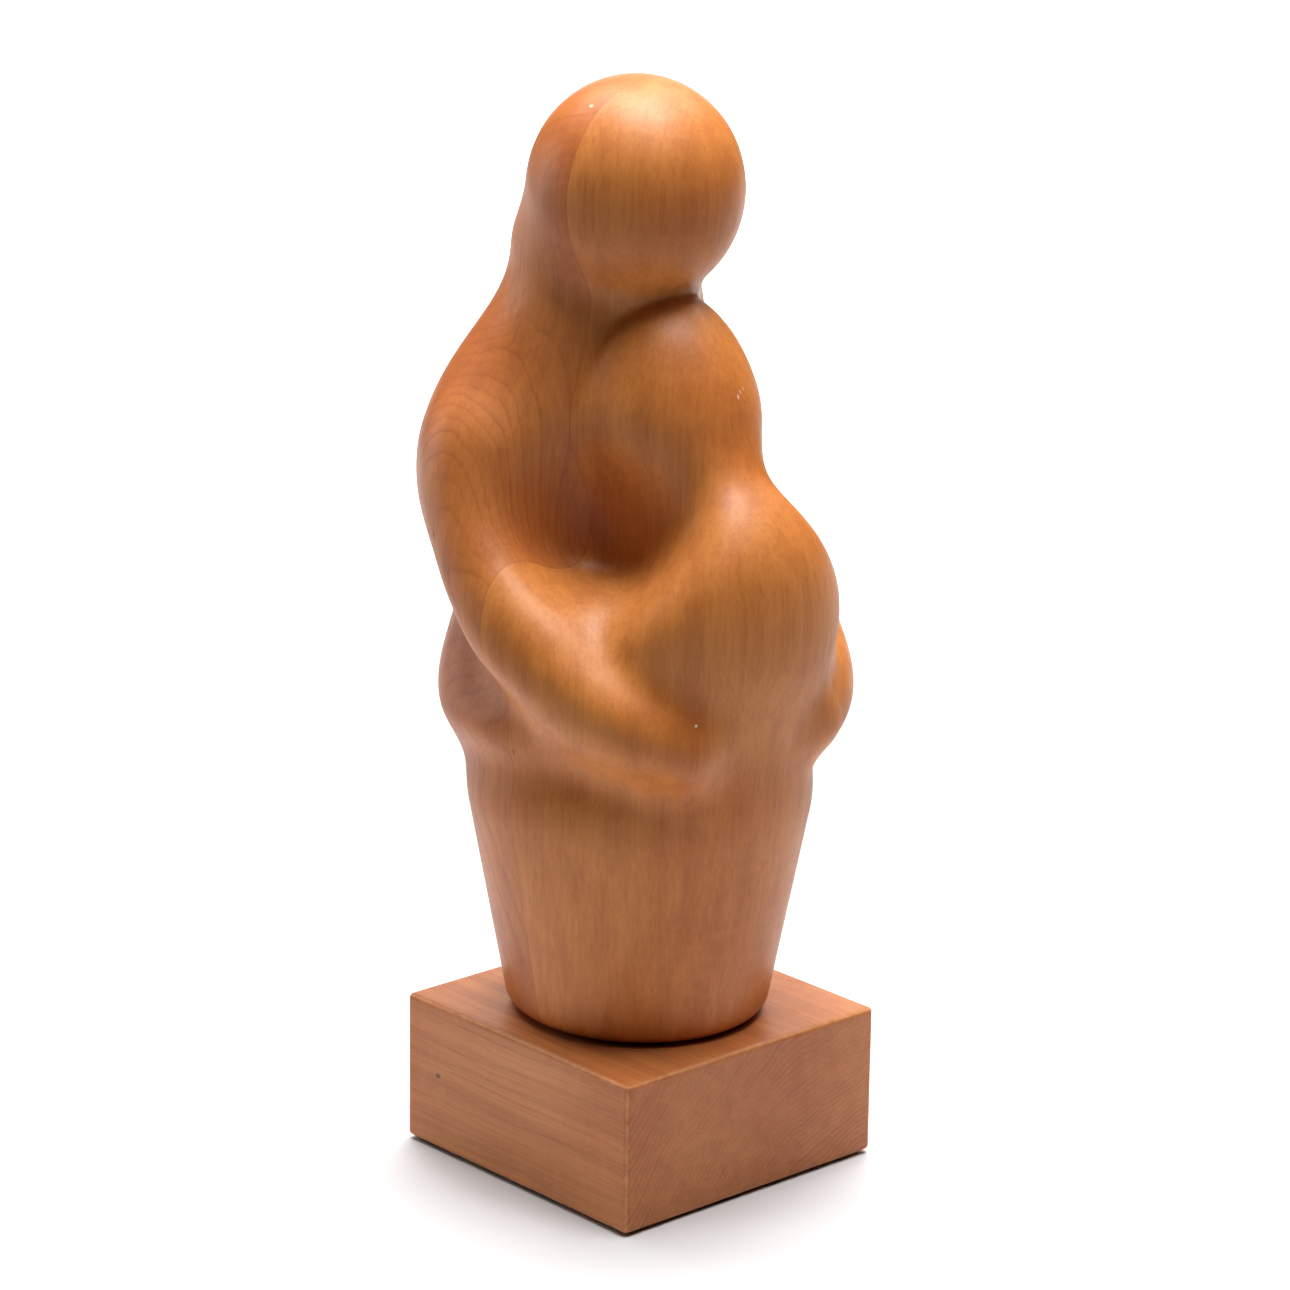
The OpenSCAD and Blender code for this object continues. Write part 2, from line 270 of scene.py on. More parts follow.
def surface_net(gap, axes):
    """Vertices and quads round the zero level of a field sampled on a box grid."""
    inside = gap < 0
    cells = np.array(gap.shape) - 1
    total, count = np.zeros((*cells, 3)), np.zeros(cells, int)
    edges = []
    for axis in range(3):
        near, far = cut(gap, axis, 0, 1), cut(gap, axis, 1, 0)
        crossing = cut(inside, axis, 0, 1) != cut(inside, axis, 1, 0)
        at = np.argwhere(crossing)
        place = at.astype(float)
        place[:, axis] += near[crossing] / (near[crossing] - far[crossing])
        others = [o for o in range(3) if o != axis]
        for back in itertools.product((0, 1), repeat=2):
            cell = at.copy()
            cell[:, others] -= back
            kept = ((cell >= 0) & (cell < cells)).all(1)
            np.add.at(total, tuple(cell[kept].T), place[kept])
            np.add.at(count, tuple(cell[kept].T), 1)
        edges.append((axis, others, at, cut(inside, axis, 0, 1)[crossing]))
    active = count > 0
    number = np.full(cells, -1)
    number[active] = np.arange(active.sum())
    spots = total[active] / count[active][:, None]
    lines = [np.arange(len(axis)) for axis in axes]
    points = np.stack([np.interp(spots[:, i], lines[i], axes[i]) for i in range(3)], 1)
    quads = []
    for axis, others, at, starts_inside in edges:
        corners = []
        for back in ((1, 1), (0, 1), (0, 0), (1, 0)):
            cell = at.copy()
            cell[:, others] -= back
            corners.append(number[tuple(cell.T)])
        quad = np.stack(corners, 1)
        turned = ~starts_inside if axis == Y else starts_inside
        quads.append(np.where(turned[:, None], quad, quad[:, ::-1]))
    return points, np.concatenate(quads)


def slope_of(points):
    """The direction in which the gap grows fastest, and how fast."""
    slopes = []
    for axis in range(3):
        shift = np.zeros(3)
        shift[axis] = SLOPE_STEP
        ahead, behind = points + shift, points - shift
        slopes.append((figure_gap(*ahead.T) - figure_gap(*behind.T)) / (2 * SLOPE_STEP))
    return np.stack(slopes, 1)


def onto_skin(points, on_glue, turns):
    """Moves points onto the skin. Those on the glue face stay on it."""
    for _ in range(turns):
        slope = slope_of(points)
        slope[on_glue, Y] = 0
        steepness = np.maximum((slope * slope).sum(1), LEAST_SLOPE)
        points = points - slope * (figure_gap(*points.T) / steepness)[:, None]
    return points


def neighbour_mean(points, quads):
    """The middle of each point's neighbours along the edges."""
    total, count = np.zeros_like(points), np.zeros(len(points))
    for i in range(4):
        here, there = quads[:, i], quads[:, (i + 1) % 4]
        for a, b in ((here, there), (there, here)):
            np.add.at(total, a, points[b])
            np.add.at(count, a, 1)
    return total / count[:, None]


def corners_mix(inside):
    """True for the grid cells that have corners on both sides."""
    anyone, everyone = inside, inside
    for axis in range(3):
        anyone = cut(anyone, axis, 0, 1) | cut(anyone, axis, 1, 0)
        everyone = cut(everyone, axis, 0, 1) & cut(everyone, axis, 1, 0)
    return anyone & ~everyone


def figure_grid():
    """Grid lines that pass beside x = 0, y = 0 and z = 0, half a step away, and the gap on them."""
    half = np.arange(0.5, GRID_HALF_WIDTH / GRID_STEP) * GRID_STEP
    back = np.arange(0.5, GRID_BACK / GRID_STEP) * GRID_STEP
    front = np.arange(0.5, GRID_FRONT / GRID_STEP) * GRID_STEP
    up = np.arange(-0.5, GRID_HEIGHT / GRID_STEP) * GRID_STEP
    deep = np.concatenate([-front[::-1], back])
    gap = figure_gap(half[:, None, None], deep[None, :, None], up[None, None, :])
    return (np.concatenate([-half[::-1], half]), deep, up), np.concatenate([gap[::-1], gap])


def board_mesh(name, axes, gap, side):
    """One board of the figure: side is -1 for the front one and 1 for the back one."""
    own = np.maximum(gap, -side * axes[Y][None, :, None])
    points, quads = surface_net(own, axes)
    cell = [np.searchsorted(axes[i], points[:, i]) - 1 for i in range(3)]
    touches_skin = corners_mix(gap < 0)[tuple(cell)]
    on_glue = np.abs(points[:, Y]) < GRID_STEP / 2
    points[on_glue, Y] = 0
    rim = on_glue & touches_skin
    skin = touches_skin | ~on_glue
    for _ in range(RELAX_TURNS):
        points[skin] = onto_skin(points[skin], on_glue[skin], SKIN_TURNS)
        mean = neighbour_mean(points, quads)
        points[~on_glue] = (points[~on_glue] + mean[~on_glue]) / 2
    points[skin] = onto_skin(points[skin], on_glue[skin], LAST_SKIN_TURNS)
    return smooth_mesh(name, points * MM + np.array(foot), quads, rim)


def smooth_mesh(name, points, quads, rim):
    """A smooth mesh, with crisp edges between points on the rim."""
    mesh = bpy.data.meshes.new(name)
    mesh.from_pydata(points, [], quads)
    form = bmesh.new()
    form.from_mesh(mesh)
    form.verts.ensure_lookup_table()
    for edge in form.edges:
        a, b = edge.verts
        edge.smooth = not (rim[a.index] and rim[b.index])
    bmesh.ops.remove_doubles(form, verts=form.verts, dist=MERGE * MM)
    for face in form.faces:
        face.smooth = True
    form.to_mesh(mesh)
    form.free()
    return mesh


def drill(board, spot):
    """Cuts the blind pilot hole of one screw into a board, upwards from its foot."""
    form = bmesh.new()
    radius = PILOT_WIDTH / 2 * MM
    bmesh.ops.create_cone(form, cap_ends=True, segments=PILOT_FACETS,
                          radius1=radius, radius2=radius, depth=2 * PILOT_DEPTH * MM,
                          matrix=Matrix.Translation(spot))
    for face in form.faces:
        face.smooth = len(face.verts) == 4
    mesh = bpy.data.meshes.new("drill")
    form.to_mesh(mesh)
    form.free()
    tool = bpy.data.objects.new("drill", mesh)
    bpy.context.scene.collection.objects.link(tool)
    hole = board.modifiers.new("pilot_hole", "BOOLEAN")
    hole.operation, hole.solver, hole.object = "DIFFERENCE", "EXACT", tool
    drilled = board.evaluated_get(bpy.context.evaluated_depsgraph_get())
    wood = bpy.data.meshes.new_from_object(drilled)
    board.modifiers.clear()
    board.data = wood
    bpy.data.objects.remove(tool)


# ---- materials: every colour and grain is worked out from the place on the object --------


class Tree:
    """Short names for building one material's node tree."""

    def __init__(self, name):
        self.material = bpy.data.materials.new(name)
        self.material.use_nodes = True
        self.nodes = self.material.node_tree.nodes
        self.links = self.material.node_tree.links
        self.shader = self.nodes["Principled BSDF"]

    def feed(self, socket, value):
        """Links a socket to another, or sets its value."""
        if isinstance(value, bpy.types.NodeSocket):
            self.links.new(value, socket)
        else:
            socket.default_value = value

    def place(self):
        """The place on the object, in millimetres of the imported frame."""
        coordinates = self.nodes.new("ShaderNodeTexCoord").outputs["Object"]
        return self.vector("SCALE", coordinates, scale=1 / MM)

    def math(self, operation, a, b=0.0, c=0.0, clamp=False):
        node = self.nodes.new("ShaderNodeMath")
        node.operation, node.use_clamp = operation, clamp
        for socket, value in zip(node.inputs, (a, b, c)):
            self.feed(socket, value)
        return node.outputs[0]

    def vector(self, operation, a, b=(0, 0, 0), scale=1.0):
        node = self.nodes.new("ShaderNodeVectorMath")
        node.operation = operation
        self.feed(node.inputs[0], a)
        if operation == "SCALE":
            node.inputs["Scale"].default_value = scale
        elif operation != "LENGTH":
            self.feed(node.inputs[1], b)
        is_number = operation in ("LENGTH", "DISTANCE", "DOT_PRODUCT")
        return node.outputs["Value" if is_number else "Vector"]

    def parts(self, vector):
        node = self.nodes.new("ShaderNodeSeparateXYZ")
        self.feed(node.inputs[0], vector)
        return node.outputs

    def noise(self, place, scale=1.0, detail=2.0, roughness=0.5, offset=(0, 0, 0)):
        node = self.nodes.new("ShaderNodeTexNoise")
        node.noise_dimensions = "3D"
        self.feed(node.inputs["Vector"], self.vector("ADD", place, offset))
        self.feed(node.inputs["Scale"], scale)
        self.feed(node.inputs["Detail"], detail)
        self.feed(node.inputs["Roughness"], roughness)
        return node.outputs["Fac"]

    def step(self, value, low, high, out_low=0.0, out_high=1.0):
        """A smooth step of value between low and high."""
        node = self.nodes.new("ShaderNodeMapRange")
        node.interpolation_type = "SMOOTHSTEP"
        for name, number in (("Value", value), ("From Min", low), ("From Max", high),
                             ("To Min", out_low), ("To Max", out_high)):
            self.feed(node.inputs[name], number)
        return node.outputs["Result"]

    def curve(self, value, stops):
        """A number read off a soft curve through (place, height) stops."""
        node = self.nodes.new("ShaderNodeValToRGB")
        ramp = node.color_ramp
        ramp.interpolation = "EASE"
        while len(ramp.elements) < len(stops):
            ramp.elements.new(0.5)
        for element, (place, height) in zip(ramp.elements, stops):
            element.position = place
            element.color = (height, height, height, 1)
        self.feed(node.inputs["Fac"], value)
        return node.outputs["Color"]

    def mix(self, share, a, b):
        """The colour a turning into b as share goes from 0 to 1."""
        node = self.nodes.new("ShaderNodeMix")
        node.data_type = "RGBA"
        self.feed(node.inputs["Factor"], share)
        # the node has a set of sockets for each kind of data: these are the colour ones
        for socket, value in ((node.inputs[6], a), (node.inputs[7], b)):
            self.feed(socket, value if isinstance(value, bpy.types.NodeSocket) else (*value, 1))
        return node.outputs[2]

    def stain(self, colour, tint, pattern, low, high, strength, share=1.0):
        """Lays a tint over a colour where the pattern goes from low to high."""
        shown = self.math("MULTIPLY", self.step(pattern, low, high), strength * share)
        return self.mix(shown, colour, tint)

    def bump(self, height, distance, below=None):
        node = self.nodes.new("ShaderNodeBump")
        node.inputs["Strength"].default_value = 1.0
        node.inputs["Distance"].default_value = distance
        self.feed(node.inputs["Height"], height)
        if below is not None:
            self.links.new(below, node.inputs["Normal"])
        return node.outputs["Normal"]


# A piece's wood: the axis of its grain, the middle of the tree across it (mm), the width of a
# year's growth (mm), its pale, mid and dark colours, how strongly rings and fibres show, where it
# is cut out of the grain patterns, and its small flaws.
Wood = namedtuple("Wood", "along heart ring tones rings fibres seed marks")

# Small flaws: where (mm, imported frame), radius (mm), length up as a share of it, tint, strength.
PALE_WOOD, BARE_WOOD, SHADE = (0.80, 0.55, 0.33), (0.85, 0.72, 0.58), (0.06, 0.022, 0.010)
FRONT_MARKS = (
    ((2.2, -39.3, 266.5), 0.45, 5, BARE_WOOD, 0.8),
    ((3.8, -38.6, 268.0), 0.45, 4, BARE_WOOD, 0.8),
    ((5.6, -37.9, 268.6), 0.40, 5, BARE_WOOD, 0.7),
    ((-30.6, -50.9, 218.2), 0.65, 1, BARE_WOOD, 0.9),
    ((-31.5, -58.7, 168.9), 0.60, 1, BARE_WOOD, 0.9),
    ((-57.6, -1.5, 152.5), 0.40, 32, SHADE, 0.8),
)
BACK_MARKS = (
    ((-22.6, 4.0, 355.0), 1.1, 0.6, PALE_WOOD, 0.8),
    ((-66.6, 27.5, 218.5), 0.8, 1.5, SHADE, 0.7),
)
PLINTH_MARKS = (
    ((-55.0, 39.0, 27.0), 1.6, 0.7, SHADE, 0.75),
)

FRONT_WOOD = Wood(
    along=Z, heart=(95, -150), ring=2.6, rings=0.24, fibres=0.85, seed=11, marks=FRONT_MARKS,
    tones=((0.66, 0.238, 0.054), (0.53, 0.156, 0.028), (0.37, 0.090, 0.016)),
)
BACK_WOOD = Wood(
    along=Z, heart=(150, 45), ring=2.7, rings=0.50, fibres=0.60, seed=47, marks=BACK_MARKS,
    tones=((0.60, 0.200, 0.048), (0.48, 0.132, 0.027), (0.27, 0.057, 0.015)),
)
PLINTH_WOOD = Wood(
    along=Y, heart=(66, -62), ring=2.1, rings=0.75, fibres=0.80, seed=83, marks=PLINTH_MARKS,
    tones=((0.68, 0.265, 0.085), (0.55, 0.180, 0.050), (0.32, 0.085, 0.025)),
)
WORN_TINT = (0.74, 0.37, 0.16)

# Grain patterns: waves a millimetre, detail, roughness, offset.
BEND_NOISE = (0.018, 2.0, 0.45, (0, 0, 0))
WAVER_NOISE = (0.07, 2.0, 0.5, (31, 7, 3))
PATCH_NOISE = (0.03, 2.0, 0.5, (5, 50, 17))
STRIPE_NOISE = (0.16, 3.0, 0.6, (0, 0, 0))
THREAD_NOISE = (0.9, 3.0, 0.65, (9, 2, 4))
HAIR_NOISE = (3.2, 2.0, 0.6, (3, 12, 8))
PORE_NOISE = (4.5, 1.0, 0.5, (13, 1, 2))
FLECK_NOISE = (1.3, 2.0, 0.5, (21, 9, 5))
SHIMMER_NOISE = (0.22, 2.0, 0.5, (40, 2, 9))
CLOUD_NOISE = (0.014, 2.0, 0.5, (2, 80, 33))
EDGE_NOISE = (0.25, 3.0, 0.6, (4, 14, 44))
POLISH_NOISE = (0.05, 3.0, 0.6, (7, 7, 70))
TOOL_NOISE = (0.06, 2.0, 0.5, (60, 6, 1))

# How the patterns are scaled along the grain, below 1 to stretch them, and across it.
SLOW_SCALE = (0.35, 1.0)
FIBRE_SCALE = (0.009, 1.0)
PORE_SCALE = (0.12, 1.0)
SHIMMER_SCALE = (1.0, 0.35)
FLAT_SCALE = (0.0, 1.0)
SEED_SHIFT = (1, 0.7, 1.3)

# How the patterns colour the wood: where they begin, where they are full, how strongly.
STRIPES_DARK = (0.38, 0.70, 0.45)
STRIPES_PALE = (0.50, 0.24, 0.40)
THREADS_DARK = (0.42, 0.72, 0.38)
HAIRS_DARK = (0.40, 0.75, 0.22)
SHIMMER_PALE = (0.45, 0.75, 0.16)
FLECKS_PALE = (0.56, 0.72, 0.28)
CLOUD_EDGE = (0.34, 0.66)
PORE_EDGE, PORES_DARK = (0.70, 0.80), 0.45
DEEP_SHARE = 0.35

# The same for the glue line and the worn edges, by their distance in mm, and for small flaws.
GLUE_DARK = (0.22, 0.04, 0.24)
WORN_PALE, WORN_WAVER = (2.0, 1.1, 0.55), 1.6
MARK_CORE = 0.45

# Growth rings: how far they bend and waver (mm), how dark they are through one year, how much that
# differs from year to year, and where they fade.
RING_BEND, RING_WAVER = 16.0, 4.5
YEAR_CURVE = ((0.0, 0.35), (0.10, 0.0), (0.62, 0.12), (0.86, 0.55), (0.95, 1.0), (1.0, 0.4))
YEAR_RANGE, YEAR_LEAST = 0.75, 0.35
PATCH_STEP = (0.36, 0.62, 0.35, 1.0)
END_GRAIN_EDGE, END_GRAIN_DARK, SIDE_RINGS = (0.75, 0.98), 0.30, 0.55

# The oiled surface: its roughness, with what threads, pores and uneven polish add, its sheen, and
# the depth (mm) of tool marks, fibres and pores.
ROUGHNESS, THREADS_ROUGH, PORES_ROUGH, POLISH_ROUGH = 0.37, 0.10, 0.15, 0.06
SPECULAR, COAT, COAT_ROUGHNESS = 0.34, 0.04, 0.30
TOOL_DEPTH, FIBRE_DEPTH, PORE_DEPTH, HAIR_SHARE = 0.35, 0.03, 0.03, 0.6


def scaled(t, place, along, scale):
    """The place scaled by scale[0] along the grain and by scale[1] across it."""
    factors = [scale[0] if axis == along else scale[1] for axis in (X, Y, Z)]
    return t.vector("MULTIPLY", place, factors)


def growth_rings(t, wood, place, shifted):
    """The dark late wood of each year, from 0 to 1: rings round the heart of the tree."""
    heart = list(wood.heart)
    heart.insert(wood.along, 0.0)
    away = t.vector("DISTANCE", scaled(t, place, wood.along, FLAT_SCALE), heart)
    slow = scaled(t, shifted, wood.along, SLOW_SCALE)
    for noise, reach in ((BEND_NOISE, RING_BEND), (WAVER_NOISE, RING_WAVER)):
        away = t.math("MULTIPLY_ADD", t.math("SUBTRACT", t.noise(slow, *noise), 0.5), reach, away)
    year = t.math("DIVIDE", away, wood.ring)
    chance = t.nodes.new("ShaderNodeTexWhiteNoise")
    chance.noise_dimensions = "1D"
    t.feed(chance.inputs["W"], t.math("FLOOR", year))
    strength = t.math("MULTIPLY_ADD", chance.outputs["Value"], YEAR_RANGE, YEAR_LEAST)
    late = t.math("MULTIPLY", t.curve(t.math("FRACT", year), YEAR_CURVE), strength)
    return t.math("MULTIPLY", late, t.step(t.noise(shifted, *PATCH_NOISE), *PATCH_STEP))


def end_grain(t, along):
    """1 on the faces that cut across the grain, 0 on the others."""
    normal = t.nodes.new("ShaderNodeNewGeometry").outputs["Normal"]
    return t.step(t.math("ABSOLUTE", t.parts(normal)[along]), *END_GRAIN_EDGE)


def edge_distance(t, place, shifted, block):
    """How far (mm) a place lies from the nearest edge of a square block, a little unevenly."""
    side, low, high = block
    x, y, z = t.parts(place)
    a = t.math("SUBTRACT", side / 2, t.math("ABSOLUTE", x))
    b = t.math("SUBTRACT", side / 2, t.math("ABSOLUTE", y))
    c = t.math("MINIMUM", t.math("SUBTRACT", z, low), t.math("SUBTRACT", high, z))
    upright = t.math("MAXIMUM", a, b)
    edge = t.math("MAXIMUM", t.math("MINIMUM", a, b), t.math("MINIMUM", upright, c))
    return t.math("MULTIPLY_ADD", t.noise(shifted, *EDGE_NOISE), WORN_WAVER, edge)


def oil_finish(t, shifted, threads, hairs, pores):
    """Satin oil over fibres, pores and faint marks of the tools."""
    rough = t.math("MULTIPLY_ADD", threads, THREADS_ROUGH, ROUGHNESS)
    rough = t.math("MULTIPLY_ADD", pores, PORES_ROUGH, rough)
    rough = t.math("MULTIPLY_ADD", t.noise(shifted, *POLISH_NOISE), POLISH_ROUGH, rough)
    t.feed(t.shader.inputs["Roughness"], rough)
    t.shader.inputs["Specular IOR Level"].default_value = SPECULAR
    t.shader.inputs["Coat Weight"].default_value = COAT
    t.shader.inputs["Coat Roughness"].default_value = COAT_ROUGHNESS
    fibres = t.math("ADD", threads, t.math("MULTIPLY", hairs, HAIR_SHARE))
    normal = t.bump(t.noise(shifted, *TOOL_NOISE), TOOL_DEPTH * MM)
    normal = t.bump(fibres, FIBRE_DEPTH * MM, below=normal)
    normal = t.bump(t.math("SUBTRACT", 1.0, pores), PORE_DEPTH * MM, below=normal)
    t.feed(t.shader.inputs["Normal"], normal)


def wood_material(name, wood, seam=False, block=None):
    """Oiled fruit wood. A seam shows the glue line between the boards. A block, given by its side,
    bottom and top in mm, shows end grain and worn edges."""
    t = Tree(name)
    place = t.place()
    shifted = t.vector("ADD", place, [wood.seed * shift for shift in SEED_SHIFT])
    lengthwise = scaled(t, shifted, wood.along, FIBRE_SCALE)
    short = scaled(t, shifted, wood.along, PORE_SCALE)
    stripes = t.noise(lengthwise, *STRIPE_NOISE)
    threads = t.noise(lengthwise, *THREAD_NOISE)
    hairs = t.noise(lengthwise, *HAIR_NOISE)
    pores = t.step(t.noise(short, *PORE_NOISE), *PORE_EDGE)
    flecks = t.noise(short, *FLECK_NOISE)
    shimmer = t.noise(scaled(t, shifted, wood.along, SHIMMER_SCALE), *SHIMMER_NOISE)
    cloud = t.noise(shifted, *CLOUD_NOISE)

    # long fibres: broad soft stripes, fine threads and hairs
    pale, mid, dark = wood.tones
    deep = [part * DEEP_SHARE for part in dark]
    colour = t.mix(t.step(cloud, *CLOUD_EDGE), mid, pale)
    colour = t.stain(colour, dark, stripes, *STRIPES_DARK, wood.fibres)
    colour = t.stain(colour, pale, stripes, *STRIPES_PALE, wood.fibres)
    colour = t.stain(colour, dark, threads, *THREADS_DARK, wood.fibres)
    colour = t.stain(colour, dark, hairs, *HAIRS_DARK, wood.fibres)

    # the rings of each year, stronger on end grain
    rings_shown = wood.rings
    if block:
        across = end_grain(t, wood.along)
        rings_shown = t.math("MULTIPLY_ADD", across, wood.rings, wood.rings * SIDE_RINGS)
    late = growth_rings(t, wood, place, shifted)
    colour = t.mix(t.math("MULTIPLY", late, rings_shown, clamp=True), colour, dark)

    # shimmer that lies across the fibres, as where the grain dips in and out of the surface
    colour = t.stain(colour, pale, shimmer, *SHIMMER_PALE)
    colour = t.stain(colour, pale, flecks, *FLECKS_PALE, wood.fibres)
    colour = t.mix(t.math("MULTIPLY", pores, PORES_DARK), colour, deep)

    if seam:
        off = t.math("ABSOLUTE", t.math("SUBTRACT", t.parts(place)[Y], foot.y / MM))
        colour = t.stain(colour, deep, off, *GLUE_DARK)
    if block:
        colour = t.mix(t.math("MULTIPLY", across, END_GRAIN_DARK), colour, dark)
        edge = edge_distance(t, place, shifted, block)
        colour = t.stain(colour, WORN_TINT, edge, *WORN_PALE)
    for spot, radius, stretch_up, tint, strength in wood.marks:
        squeezed = t.vector("MULTIPLY", t.vector("SUBTRACT", place, spot), (1, 1, 1 / stretch_up))
        off = t.vector("LENGTH", squeezed)
        colour = t.stain(colour, tint, off, radius, radius * MARK_CORE, strength)
    t.feed(t.shader.inputs["Base Color"], colour)
    oil_finish(t, shifted, threads, hairs, pores)
    return t.material


# Metal: tint, roughness. Felt: ground, matted and fleck colours.
BRASS, STEEL = ((0.72, 0.52, 0.24), 0.32), ((0.56, 0.57, 0.58), 0.28)
TARNISH_NOISE, TARNISH_EDGE = (0.6, 4.0, 0.6, (3, 5, 7)), (0.40, 0.75)
TARNISH_SHARE, TARNISH_ROUGH = 0.55, 0.25
TURNED_SCALE, TURNED_NOISE, TURNED_DEPTH = (0.2, 0.2, 6.0), (2.0, 2.0, 0.5), 0.03
FELT_GROUND, FELT_MATTED = (0.012, 0.011, 0.010), (0.030, 0.027, 0.025)
FELT_FLECK = (0.10, 0.09, 0.085)
MATTED_NOISE, MATTED_EDGE, MATTED_DEPTH = (1.6, 5.0, 0.7, (1, 2, 3)), (0.35, 0.65), 0.25
LINT_SCALE, LINT_NOISE, LINT_PALE = (1.0, 0.3, 1.0), (5.0, 2.0, 0.6, (8, 4, 6)), (0.62, 0.72, 0.5)
FELT_ROUGHNESS, FELT_SHEEN = 0.95, 0.3


def metal_material(name, tint, roughness):
    """Plain turned metal: fine tool lines and slight tarnish."""
    t = Tree(name)
    place = t.place()
    tarnish = t.noise(place, *TARNISH_NOISE)
    turned = t.noise(t.vector("MULTIPLY", place, TURNED_SCALE), *TURNED_NOISE)
    dull = [part * TARNISH_SHARE for part in tint]
    t.feed(t.shader.inputs["Base Color"], t.mix(t.step(tarnish, *TARNISH_EDGE), tint, dull))
    t.feed(t.shader.inputs["Roughness"], t.math("MULTIPLY_ADD", tarnish, TARNISH_ROUGH, roughness))
    t.shader.inputs["Metallic"].default_value = 1.0
    t.feed(t.shader.inputs["Normal"], t.bump(turned, TURNED_DEPTH * MM))
    return t.material


def felt_material(name):
    """Pressed dark felt: matted fibres with paler flecks of lint."""
    t = Tree(name)
    place = t.place()
    matted = t.noise(place, *MATTED_NOISE)
    lint = t.noise(t.vector("MULTIPLY", place, LINT_SCALE), *LINT_NOISE)
    colour = t.mix(t.step(matted, *MATTED_EDGE), FELT_GROUND, FELT_MATTED)
    colour = t.stain(colour, FELT_FLECK, lint, *LINT_PALE)
    t.feed(t.shader.inputs["Base Color"], colour)
    t.shader.inputs["Roughness"].default_value = FELT_ROUGHNESS
    t.shader.inputs["Sheen Weight"].default_value = FELT_SHEEN
    t.feed(t.shader.inputs["Normal"], t.bump(matted, MATTED_DEPTH * MM))
    return t.material


# ---- the pieces: the boards are made anew, the other parts are the CAD's own -------------

axes, gap = figure_grid()
boards = {}
for name, side in (("figure_front_board", -1), ("figure_back_board", 1)):
    piece = bpy.data.objects.new(name + "_wood", board_mesh(name, axes, gap, side))
    bpy.context.scene.collection.objects.link(piece)
    drill(piece, foot + Vector((0, side * SCREW_SPACING / 2 * MM, 0)))
    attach(piece, "root")
    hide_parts(name)
    boards[name] = piece
front_wood = wood_material("figure_front_wood", FRONT_WOOD, seam=True)
back_wood = wood_material("figure_back_wood", BACK_WOOD, seam=True)
boards["figure_front_board"].data.materials.append(front_wood)
boards["figure_back_board"].data.materials.append(back_wood)

plinth_low, plinth_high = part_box("plinth_block")
plinth_size = ((plinth_high.x - plinth_low.x) / MM, plinth_low.z / MM, plinth_high.z / MM)
for name, material in (
    ("plinth_block", wood_material("plinth_wood", PLINTH_WOOD, block=plinth_size)),
    ("fixing_screw", metal_material("screw_metal", *BRASS)),
    ("screw_washer", metal_material("washer_metal", *STEEL)),
    ("felt_sheet", felt_material("felt")),
):
    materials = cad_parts[name].data.materials
    materials.clear()
    materials.append(material)


# ---- the studio, in metres and degrees --------------------------------------------------

CAMERA_SPOT = (-1.02429, -1.12508, 0.64108)
CAMERA_TURN, CAMERA_DROP, CAMERA_ROLL = -42.31, 17.016, 0.83
CAMERA_LENS, CAMERA_SENSOR = 136.44, 36.0
CAMERA_NEAR, CAMERA_FAR = 0.05, 60

# The paper's colour by the distance from the plinth: PAPER_NEAR under it, PAPER_FRONT beyond
# PAPER_EDGE, and PAPER_FAR past PAPER_FADE behind it and past PAPER_RIM all round.
# Painted light: the paler paper round the plinth lightens the shadows there, and the palest paper
# far off stands in for light the lamps don't bring there. The darker paper in front throws less
# light back onto the figure.
FLOOR_SIDE = 14.0
PAPER_ROUGHNESS, PAPER_SPECULAR = 0.75, 0.1
PAPER_NEAR, PAPER_FRONT, PAPER_FAR = (0.59, 0.58, 0.585), (0.33, 0.33, 0.33), (0.85, 0.85, 0.85)
PAPER_EDGE, PAPER_FADE, PAPER_RIM = (0.18, 0.42), (0.1, 1.2), (1.0, 2.0)

# Two lights fall on the paper only: an even one, and a stronger one over its far part.
PAPER_LIGHT, PAPER_LIGHT_SPREAD, PAPER_LIGHT_HEIGHT = 0.35, 5, 3
BACKDROP_LIGHT, BACKDROP_SIZE, BACKDROP_AWAY, BACKDROP_HEIGHT = 60, 2.0, 2.0, 1.8

AIM = Vector((0, 0, 0.17))
AWAY = Vector((-math.sin(math.radians(CAMERA_TURN)), math.cos(math.radians(CAMERA_TURN)), 0))
LAMP_DISTANCE, LAMP_CLEARANCE = 1.7, 0.02
LAMPS = (
    # name, height above the floor, turn to the right of the camera, watts, size
    ("overhead", 84, 100, 55, 1.2),
    ("behind_left", 60, -140, 18, 1.0),
    ("behind_right", 50, 150, 10, 1.0),
    ("behind_low", 8, 180, 4, 0.9),
    ("right_high", 60, 75, 2, 0.9),
    ("left_low", 5, -112, 5.5, 0.9),
)


def add_camera():
    """A long lens, looking a little down at the figure's right side from the front."""
    data = bpy.data.cameras.new("camera")
    data.lens, data.sensor_width = CAMERA_LENS, CAMERA_SENSOR
    data.clip_start, data.clip_end = CAMERA_NEAR, CAMERA_FAR
    camera = bpy.data.objects.new("camera", data)
    bpy.context.scene.collection.objects.link(camera)
    turn, drop, roll = (math.radians(a) for a in (CAMERA_TURN, CAMERA_DROP, CAMERA_ROLL))
    camera.rotation_mode = "XYZ"
    upright = Matrix.Rotation(turn, 4, "Z") @ Matrix.Rotation(math.pi / 2 - drop, 4, "X")
    camera.matrix_world = Matrix.Translation(CAMERA_SPOT) @ upright @ Matrix.Rotation(roll, 4, "Z")
    bpy.context.scene.camera = camera


